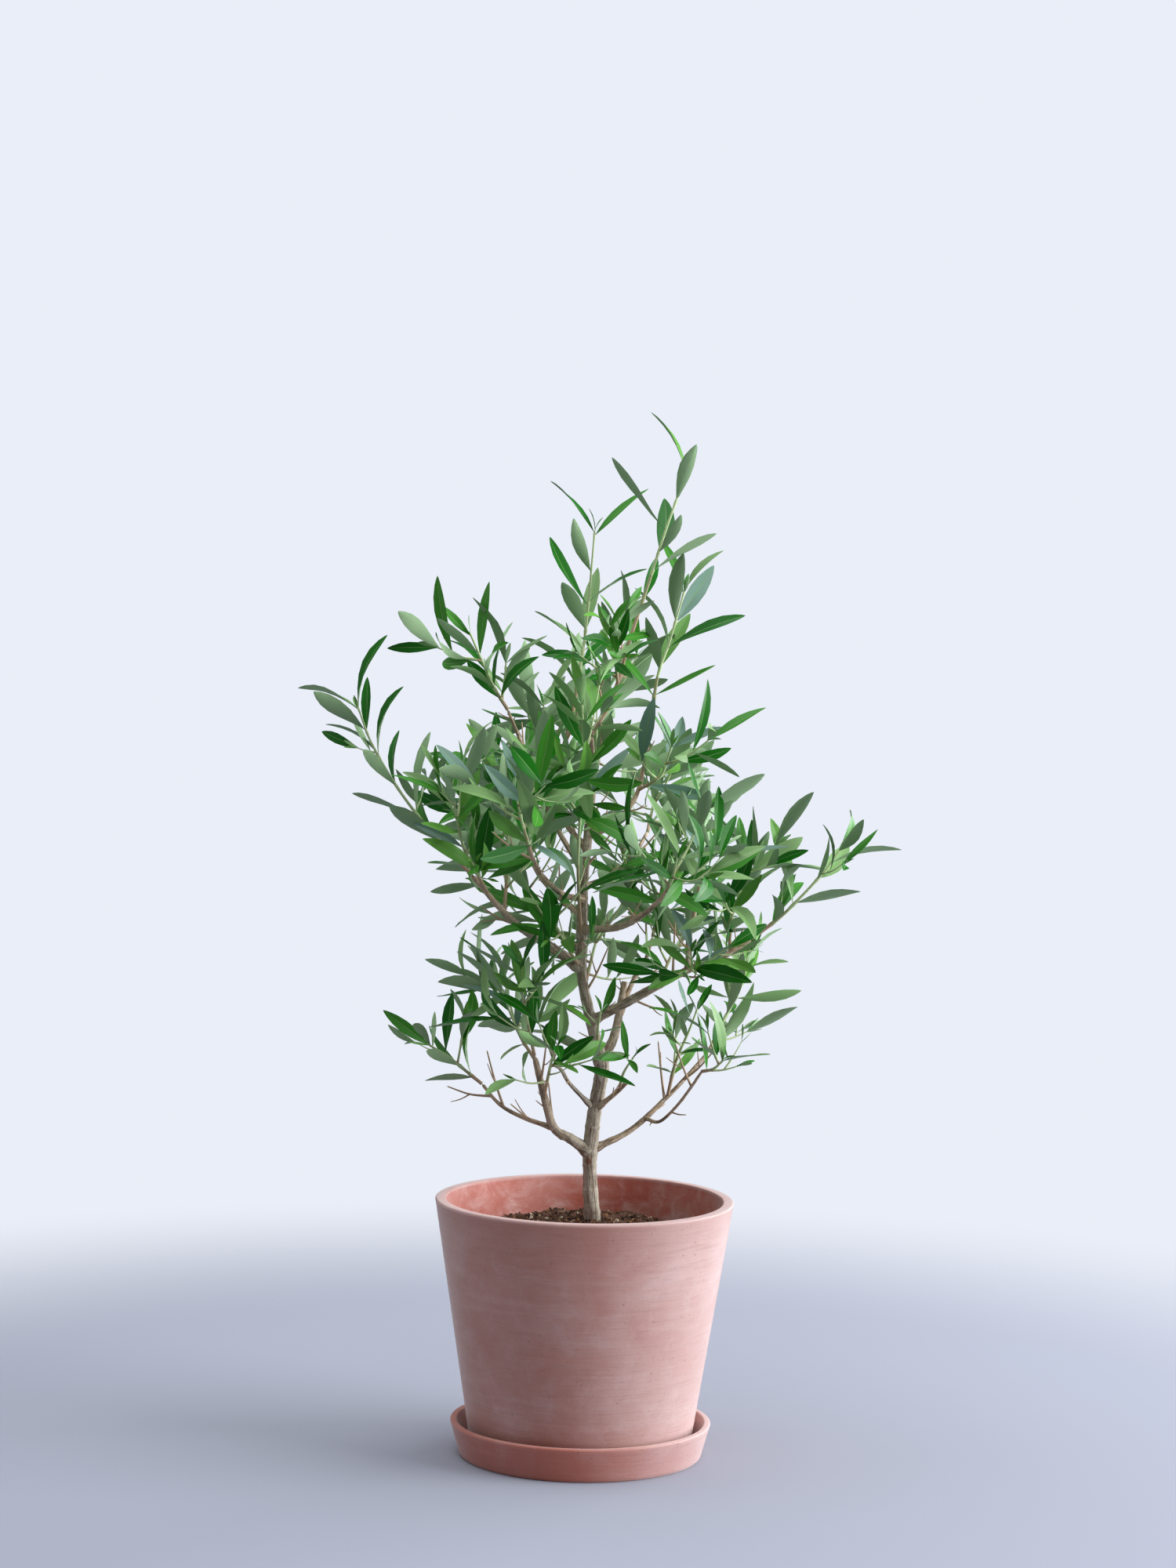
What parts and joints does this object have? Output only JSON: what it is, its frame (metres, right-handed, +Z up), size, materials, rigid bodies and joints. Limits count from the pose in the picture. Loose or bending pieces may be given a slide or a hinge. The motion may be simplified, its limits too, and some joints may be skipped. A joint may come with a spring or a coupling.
{
  "type": "potted olive tree",
  "caption": "Young olive tree with an open, twiggy crown of narrow leaves, in a flaring round terracotta-coloured pot on a shallow saucer.",
  "frame": {"origin": "centre of the saucer's flat underside, on the floor", "axes": "+Z up, -Y towards the viewer of the picture, +X to that viewer's right"},
  "size_m": [0.5021, 0.4887, 0.8731],
  "materials": {
    "terracotta": "dusty matt terracotta, lightly brushed",
    "saucer": "matt terracotta",
    "compost": "crumbly dark compost",
    "bark": "rough grey-brown bark",
    "foliage": "leathery leaves, glossy above and silvery below"
  },
  "bodies": {
    "root": {"saucer": "saucer", "pot": "terracotta", "soil": "compost", "trunk": "bark", "left_leader": "bark", "middle_leader": "bark", "right_leader": "bark", "right_leader_branch": "bark", "lower_left_bough": "bark", "low_left_branch": "bark", "lower_right_bough": "bark", "low_right_branch": "bark", "left_stub": "bark", "right_stub": "bark", "mid_right_bough": "bark", "right_riser": "bark", "mid_left_bough": "bark", "front_right_bough": "bark", "back_left_bough": "bark", "front_left_bough": "bark", "back_right_bough": "bark", "upper_left_bough": "bark", "upper_left_leader": "bark", "upper_right_leader": "bark", "top_leader": "bark", "top_shoot": "foliage", "top_inner_spray": "foliage", "upper_right_shoot": "foliage", "upper_left_shoot": "foliage", "left_upper_shoot": "foliage", "upper_left_spray": "foliage", "left_long_shoot": "foliage", "left_shoot": "foliage", "left_inner_spray": "foliage", "front_shoot": "foliage", "front_low_spray": "foliage", "back_low_spray": "foliage", "mid_left_spray": "foliage", "back_left_spray": "foliage", "front_left_spray": "foliage", "front_right_spray": "foliage", "back_right_spray": "foliage", "right_inner_spray": "foliage", "right_riser_shoot": "foliage", "right_end_shoot": "foliage", "right_upper_shoot": "foliage", "right_front_spray": "foliage", "right_back_spray": "foliage", "right_low_shoot": "foliage", "low_right_spray": "foliage", "low_right_twig": "foliage", "low_left_spray": "foliage", "low_left_inner_spray": "foliage", "low_left_outer_spray": "foliage", "far_low_left_spray": "foliage", "trunk_shoot": "foliage", "stub_shoot": "foliage", "inner_twigs": "foliage", "upper_front_spray": "foliage", "upper_back_spray": "foliage"}
  },
  "joints": []
}
